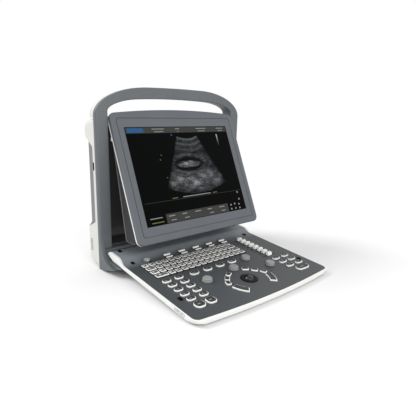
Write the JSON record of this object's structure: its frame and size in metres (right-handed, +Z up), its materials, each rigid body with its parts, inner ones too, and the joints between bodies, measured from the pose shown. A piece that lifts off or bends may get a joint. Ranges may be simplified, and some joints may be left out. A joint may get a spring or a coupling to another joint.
{
  "type": "ultrasound scanner",
  "caption": "Portable ultrasound scanner: upright tower with a carrying handle, a tilting display and a fold-up control panel with keys, knobs, sliders and a trackball.",
  "frame": {"origin": "on the table, under the middle of the scanner's box with the display tilted out and the panel down", "axes": "+X across to the user's right, +Y from the control panel to the back of the tower, +Z up"},
  "size_m": [0.344, 0.389, 0.337],
  "materials": {
    "grey_plastic": "fine satin texture",
    "white_plastic": "fine satin texture",
    "dark_plastic": "matt texture",
    "key_silicone": "translucent satin",
    "knob_plastic": "satin",
    "screen": "anti-glare screen film",
    "trackball": "polished",
    "rubber": "matt",
    "steel": "brushed",
    "circuit_board": "solder mask"
  },
  "bodies": {
    "base": {"front_frame": "grey_plastic", "rear_shell": "white_plastic", "handle_back": "white_plastic", "display_tray": "dark_plastic", "display_hinge_pin": "steel", "main_board": "circuit_board", "power_supply": "steel", "battery_pack": "dark_plastic", "battery_cover": "white_plastic", "fan_frame": "dark_plastic", "probe_socket": "dark_plastic", "port_block": "dark_plastic", "power_inlet": "dark_plastic", "tower_foot_left": "rubber", "tower_foot_right": "rubber"},
    "display": {"display_bezel": "grey_plastic", "display_rim": "white_plastic", "lcd_module": "screen", "display_rear_housing": "dark_plastic"},
    "panel": {"panel_top_cover": "grey_plastic", "panel_bottom_tub": "white_plastic", "keyboard_board": "circuit_board", "alphanumeric_keymat": "key_silicone", "left_keymat": "key_silicone", "right_keymat": "key_silicone", "trackball_keymat": "key_silicone", "trackball_ring": "dark_plastic", "panel_foot_left": "rubber", "panel_foot_right": "rubber", "panel_hinge_pin": "steel"},
    "fan": {"fan_rotor": "dark_plastic"},
    "probe_lock": {"probe_lock": "grey_plastic"},
    "knob_1": {"knob_1": "knob_plastic"},
    "knob_2": {"knob_2": "knob_plastic"},
    "knob_3": {"knob_3": "knob_plastic"},
    "knob_4": {"knob_4": "knob_plastic"},
    "gain_slider_1": {"gain_slider_1": "key_silicone"},
    "gain_slider_2": {"gain_slider_2": "key_silicone"},
    "gain_slider_3": {"gain_slider_3": "key_silicone"},
    "gain_slider_4": {"gain_slider_4": "key_silicone"},
    "gain_slider_5": {"gain_slider_5": "key_silicone"},
    "gain_slider_6": {"gain_slider_6": "key_silicone"},
    "gain_slider_7": {"gain_slider_7": "key_silicone"},
    "gain_slider_8": {"gain_slider_8": "key_silicone"},
    "power_button": {"power_button": "knob_plastic"},
    "freeze_key": {"freeze_key": "key_silicone"},
    "save_key": {"save_key": "key_silicone"},
    "print_key": {"print_key": "key_silicone"},
    "arc_key_left": {"arc_key_left": "key_silicone"},
    "arc_key_right": {"arc_key_right": "key_silicone"},
    "oval_key_1": {"oval_key_1": "key_silicone"},
    "oval_key_2": {"oval_key_2": "key_silicone"},
    "oval_key_3": {"oval_key_3": "key_silicone"},
    "oval_key_4": {"oval_key_4": "key_silicone"},
    "rocker_1": {"rocker_1": "key_silicone"},
    "rocker_2": {"rocker_2": "key_silicone"},
    "rocker_3": {"rocker_3": "key_silicone"},
    "rocker_4": {"rocker_4": "key_silicone"},
    "rocker_5": {"rocker_5": "key_silicone"},
    "trackball": {"trackball": "trackball"}
  },
  "joints": [
    {"name": "display_tilt", "type": "hinge", "parent": "base", "child": "display", "pos_m": [0, 0.09876, 0.28222], "axis": [1, 0, 0], "range_deg": [0, 24.25]},
    {"name": "panel_fold", "type": "hinge", "parent": "base", "child": "panel", "pos_m": [0, 0.06454, 0.032], "axis": [-1, 0, 0], "range_deg": [0, 20]},
    {"name": "fan_spin", "type": "hinge", "parent": "base", "child": "fan", "pos_m": [0.084, 0.17654, 0.096], "axis": [0, 1, 0], "continuous": true},
    {"name": "probe_lock_turn", "type": "hinge", "parent": "base", "child": "probe_lock", "pos_m": [-0.033, 0.19154, 0.15], "axis": [0, 1, 0], "range_deg": [0, 90]},
    {"name": "knob_1_turn", "type": "hinge", "parent": "panel", "child": "knob_1", "pos_m": [-0.0705, -0.10215, 0.02248], "axis": [0, -0.0797, 0.9968], "continuous": true},
    {"name": "knob_2_turn", "type": "hinge", "parent": "panel", "child": "knob_2", "pos_m": [0, -0.09318, 0.0232], "axis": [0, -0.0797, 0.9968], "continuous": true},
    {"name": "knob_3_turn", "type": "hinge", "parent": "panel", "child": "knob_3", "pos_m": [0.051, -0.07325, 0.02479], "axis": [0, -0.0797, 0.9968], "continuous": true},
    {"name": "knob_4_turn", "type": "hinge", "parent": "panel", "child": "knob_4", "pos_m": [0.074, -0.11611, 0.02136], "axis": [0, -0.0797, 0.9968], "continuous": true},
    {"name": "gain_slider_1_slide", "type": "slide", "parent": "panel", "child": "gain_slider_1", "axis": [1, 0, 0], "range_m": [-0.012, 0.012]},
    {"name": "gain_slider_2_slide", "type": "slide", "parent": "panel", "child": "gain_slider_2", "axis": [1, 0, 0], "range_m": [-0.012, 0.012]},
    {"name": "gain_slider_3_slide", "type": "slide", "parent": "panel", "child": "gain_slider_3", "axis": [1, 0, 0], "range_m": [-0.012, 0.012]},
    {"name": "gain_slider_4_slide", "type": "slide", "parent": "panel", "child": "gain_slider_4", "axis": [1, 0, 0], "range_m": [-0.012, 0.012]},
    {"name": "gain_slider_5_slide", "type": "slide", "parent": "panel", "child": "gain_slider_5", "axis": [1, 0, 0], "range_m": [-0.012, 0.012]},
    {"name": "gain_slider_6_slide", "type": "slide", "parent": "panel", "child": "gain_slider_6", "axis": [1, 0, 0], "range_m": [-0.012, 0.012]},
    {"name": "gain_slider_7_slide", "type": "slide", "parent": "panel", "child": "gain_slider_7", "axis": [1, 0, 0], "range_m": [-0.012, 0.012]},
    {"name": "gain_slider_8_slide", "type": "slide", "parent": "panel", "child": "gain_slider_8", "axis": [1, 0, 0], "range_m": [-0.012, 0.012]},
    {"name": "power_button_press", "type": "slide", "parent": "panel", "child": "power_button", "axis": [0, 0.0797, -0.9968], "range_m": [0, 0.0008], "stiffness_N_per_m": 600, "springref_m": -0.0004},
    {"name": "freeze_key_press", "type": "slide", "parent": "panel", "child": "freeze_key", "axis": [0, 0.0797, -0.9968], "range_m": [0, 0.0008], "stiffness_N_per_m": 600, "springref_m": -0.0004},
    {"name": "save_key_press", "type": "slide", "parent": "panel", "child": "save_key", "axis": [0, 0.0797, -0.9968], "range_m": [0, 0.0008], "stiffness_N_per_m": 600, "springref_m": -0.0004},
    {"name": "print_key_press", "type": "slide", "parent": "panel", "child": "print_key", "axis": [0, 0.0797, -0.9968], "range_m": [0, 0.0008], "stiffness_N_per_m": 600, "springref_m": -0.0004},
    {"name": "arc_key_left_press", "type": "slide", "parent": "panel", "child": "arc_key_left", "axis": [0, 0.0797, -0.9968], "range_m": [0, 0.0008], "stiffness_N_per_m": 600, "springref_m": -0.0004},
    {"name": "arc_key_right_press", "type": "slide", "parent": "panel", "child": "arc_key_right", "axis": [0, 0.0797, -0.9968], "range_m": [0, 0.0008], "stiffness_N_per_m": 600, "springref_m": -0.0004},
    {"name": "oval_key_1_press", "type": "slide", "parent": "panel", "child": "oval_key_1", "axis": [0, 0.0797, -0.9968], "range_m": [0, 0.0008], "stiffness_N_per_m": 600, "springref_m": -0.0004},
    {"name": "oval_key_2_press", "type": "slide", "parent": "panel", "child": "oval_key_2", "axis": [0, 0.0797, -0.9968], "range_m": [0, 0.0008], "stiffness_N_per_m": 600, "springref_m": -0.0004},
    {"name": "oval_key_3_press", "type": "slide", "parent": "panel", "child": "oval_key_3", "axis": [0, 0.0797, -0.9968], "range_m": [0, 0.0008], "stiffness_N_per_m": 600, "springref_m": -0.0004},
    {"name": "oval_key_4_press", "type": "slide", "parent": "panel", "child": "oval_key_4", "axis": [0, 0.0797, -0.9968], "range_m": [0, 0.0008], "stiffness_N_per_m": 600, "springref_m": -0.0004},
    {"name": "rocker_1_rock", "type": "hinge", "parent": "panel", "child": "rocker_1", "pos_m": [-0.072, 0.01135, 0.02694], "axis": [1, 0, 0], "range_deg": [-3, 3], "stiffness_Nm_per_rad": 0.05},
    {"name": "rocker_2_rock", "type": "hinge", "parent": "panel", "child": "rocker_2", "pos_m": [-0.037, 0.01135, 0.02694], "axis": [1, 0, 0], "range_deg": [-3, 3], "stiffness_Nm_per_rad": 0.05},
    {"name": "rocker_3_rock", "type": "hinge", "parent": "panel", "child": "rocker_3", "pos_m": [-0.002, 0.01135, 0.02694], "axis": [1, 0, 0], "range_deg": [-3, 3], "stiffness_Nm_per_rad": 0.05},
    {"name": "rocker_4_rock", "type": "hinge", "parent": "panel", "child": "rocker_4", "pos_m": [0.033, 0.01135, 0.02694], "axis": [1, 0, 0], "range_deg": [-3, 3], "stiffness_Nm_per_rad": 0.05},
    {"name": "rocker_5_rock", "type": "hinge", "parent": "panel", "child": "rocker_5", "pos_m": [0.068, 0.01135, 0.02694], "axis": [1, 0, 0], "range_deg": [-3, 3], "stiffness_Nm_per_rad": 0.05},
    {"name": "trackball_roll", "type": "hinge", "parent": "panel", "child": "trackball", "pos_m": [-0.002, -0.13395, 0.01241], "axis": [1, 0, 0], "continuous": true}
  ]
}
